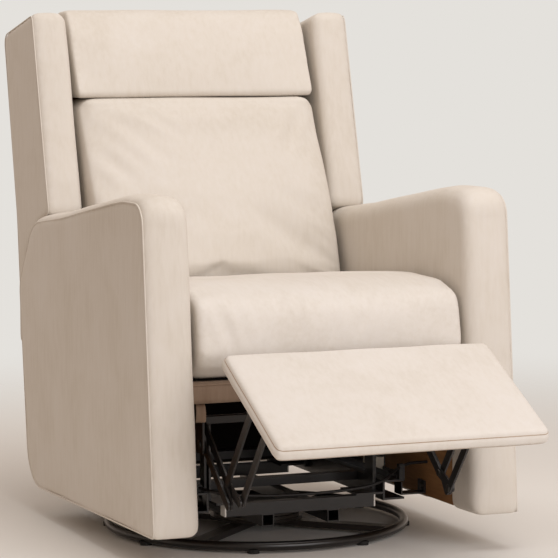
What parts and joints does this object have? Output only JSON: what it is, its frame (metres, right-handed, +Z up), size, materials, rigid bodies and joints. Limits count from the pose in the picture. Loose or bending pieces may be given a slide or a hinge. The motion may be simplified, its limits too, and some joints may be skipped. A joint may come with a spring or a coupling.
{
  "type": "swivel glider recliner",
  "caption": "Winged armchair recliner with a folding footrest, hanging-link glide and a round swivel floor ring",
  "frame": {"origin": "on the floor, on the vertical swivel axis at the middle of the floor ring", "axes": "+Z up, the chair faces -Y, +X is the sitter's left-hand side seen from the front as the viewer's right"},
  "size_m": [0.76, 1.3643, 1.0638],
  "materials": {
    "velvet": "short-pile cream velvet upholstery",
    "ring_enamel": "dark bronze-black satin enamel",
    "black_steel": "black satin enamel on pressed steel",
    "zinc_steel": "dull zinc plate",
    "bright_steel": "polished bearing steel",
    "spring_steel": "oil-tempered wire",
    "black_rubber": "moulded rubber",
    "white_plastic": "moulded white plastic",
    "black_plastic": "moulded black plastic",
    "nylon": "natural nylon",
    "plywood": "bare plywood"
  },
  "bodies": {
    "base": {"base_ring": "ring_enamel", "floor_glide_pads": "black_rubber", "base_spokes": "ring_enamel", "base_hub_plate": "ring_enamel", "lower_bearing_race": "zinc_steel", "bearing_balls": "bright_steel", "swivel_pivot_bolt": "zinc_steel", "swivel_lock_nut": "zinc_steel"},
    "swivel_frame": {"upper_bearing_race": "zinc_steel", "swivel_plate": "black_steel", "swivel_rails": "black_steel", "cross_tubes": "black_steel", "tube_end_caps": "white_plastic", "glide_brackets": "black_steel", "upper_glide_pins": "zinc_steel"},
    "front_links": {"front_glide_links": "black_steel"},
    "rear_links": {"rear_glide_links": "black_steel"},
    "carriage": {"carriage_rails": "black_steel", "lower_glide_pins": "zinc_steel", "carriage_cross_bars": "black_steel", "seat_tracks": "black_steel", "right_arm": "velvet", "left_arm": "velvet", "arm_panels": "plywood", "arm_brackets": "black_steel", "arm_bolts": "zinc_steel", "rear_kick_panel": "velvet", "release_pull_frame": "black_plastic", "release_cable": "black_plastic", "cable_clips": "black_plastic"},
    "release_pull": {"release_pull_tab": "black_plastic"},
    "seat": {"right_mechanism_plate": "black_steel", "left_mechanism_plate": "black_steel", "control_link_pins": "zinc_steel", "seat_runners": "nylon", "seat_frame_boards": "plywood", "seat_front_rail": "velvet", "seat_springs": "spring_steel", "spring_clips": "nylon", "seat_cushion": "velvet", "back_hinge_plates": "black_steel"},
    "back": {"back_brackets": "black_steel", "back_frame_boards": "plywood", "back_springs": "spring_steel", "right_wing": "velvet", "left_wing": "velvet", "back_cushion": "velvet", "head_cushion": "velvet", "back_outer_panel": "velvet"},
    "footrest_drive": {"footrest_drive_links": "black_steel", "drive_link_rivets": "zinc_steel", "torque_tube": "black_steel"},
    "footrest_control": {"footrest_control_links": "black_steel"},
    "footrest_lift": {"footrest_lift_links": "black_steel", "lift_link_rivets": "zinc_steel"},
    "footrest_guide": {"footrest_guide_links": "black_steel"},
    "footrest": {"footrest_brackets": "black_steel", "footrest_pad": "velvet", "footrest_board": "plywood"}
  },
  "joints": [
    {"name": "swivel", "type": "hinge", "parent": "base", "child": "swivel_frame", "pos_m": [0, 0, 0.04], "axis": [0, 0, 1], "continuous": true},
    {"name": "glide", "type": "hinge", "parent": "swivel_frame", "child": "front_links", "pos_m": [0, -0.18, 0.245], "axis": [-1, 0, 0], "range_deg": [-16, 16]},
    {"name": "glide_rear_links", "type": "hinge", "parent": "swivel_frame", "child": "rear_links", "pos_m": [0, 0.18, 0.245], "axis": [-1, 0, 0], "range_deg": [-17, 17]},
    {"name": "glide_level", "type": "hinge", "parent": "front_links", "child": "carriage", "pos_m": [0, -0.18, 0.095], "axis": [-1, 0, 0], "range_deg": [-17, 17]},
    {"name": "release_pull", "type": "slide", "parent": "carriage", "child": "release_pull", "axis": [0, 0, 1], "range_m": [0, 0.02], "stiffness_N_per_m": 150, "springref_m": -0.004},
    {"name": "seat_slide", "type": "slide", "parent": "carriage", "child": "seat", "axis": [0, -1, 0], "range_m": [0, 0.02]},
    {"name": "recline", "type": "hinge", "parent": "seat", "child": "back", "pos_m": [0, 0.26, 0.36], "axis": [-1, 0, 0], "range_deg": [0, 30]},
    {"name": "footrest", "type": "hinge", "parent": "seat", "child": "footrest_drive", "pos_m": [0, -0.2771, 0.2681], "axis": [-1, 0, 0], "range_deg": [-63.5, 30]},
    {"name": "footrest_control_pivot", "type": "hinge", "parent": "seat", "child": "footrest_control", "pos_m": [0, -0.309, 0.2259], "axis": [-1, 0, 0], "range_deg": [-67, 32]},
    {"name": "footrest_knee", "type": "hinge", "parent": "footrest_drive", "child": "footrest_lift", "pos_m": [0, -0.4192, 0.1589], "axis": [-1, 0, 0], "range_deg": [-37, 76.5]},
    {"name": "footrest_tilt", "type": "hinge", "parent": "footrest_lift", "child": "footrest", "pos_m": [0, -0.5641, 0.3355], "axis": [-1, 0, 0], "range_deg": [-76.5, 37]},
    {"name": "footrest_nose", "type": "hinge", "parent": "footrest_drive", "child": "footrest_guide", "pos_m": [0, -0.4744, 0.1375], "axis": [-1, 0, 0], "range_deg": [-37, 76.5]}
  ],
  "couplings": [
    {"joint": "glide_rear_links", "follows": "glide", "ratio": 1},
    {"joint": "glide_level", "follows": "glide", "ratio": -1},
    {"joint": "seat_slide", "follows": "recline", "m_per_rad": 0.0381},
    {"joint": "footrest_control_pivot", "follows": "footrest", "ratio": 1.0469},
    {"joint": "footrest_knee", "follows": "footrest", "ratio": -1.1822},
    {"joint": "footrest_tilt", "follows": "footrest", "ratio": 1.1779},
    {"joint": "footrest_nose", "follows": "footrest", "ratio": -1.1828}
  ]
}
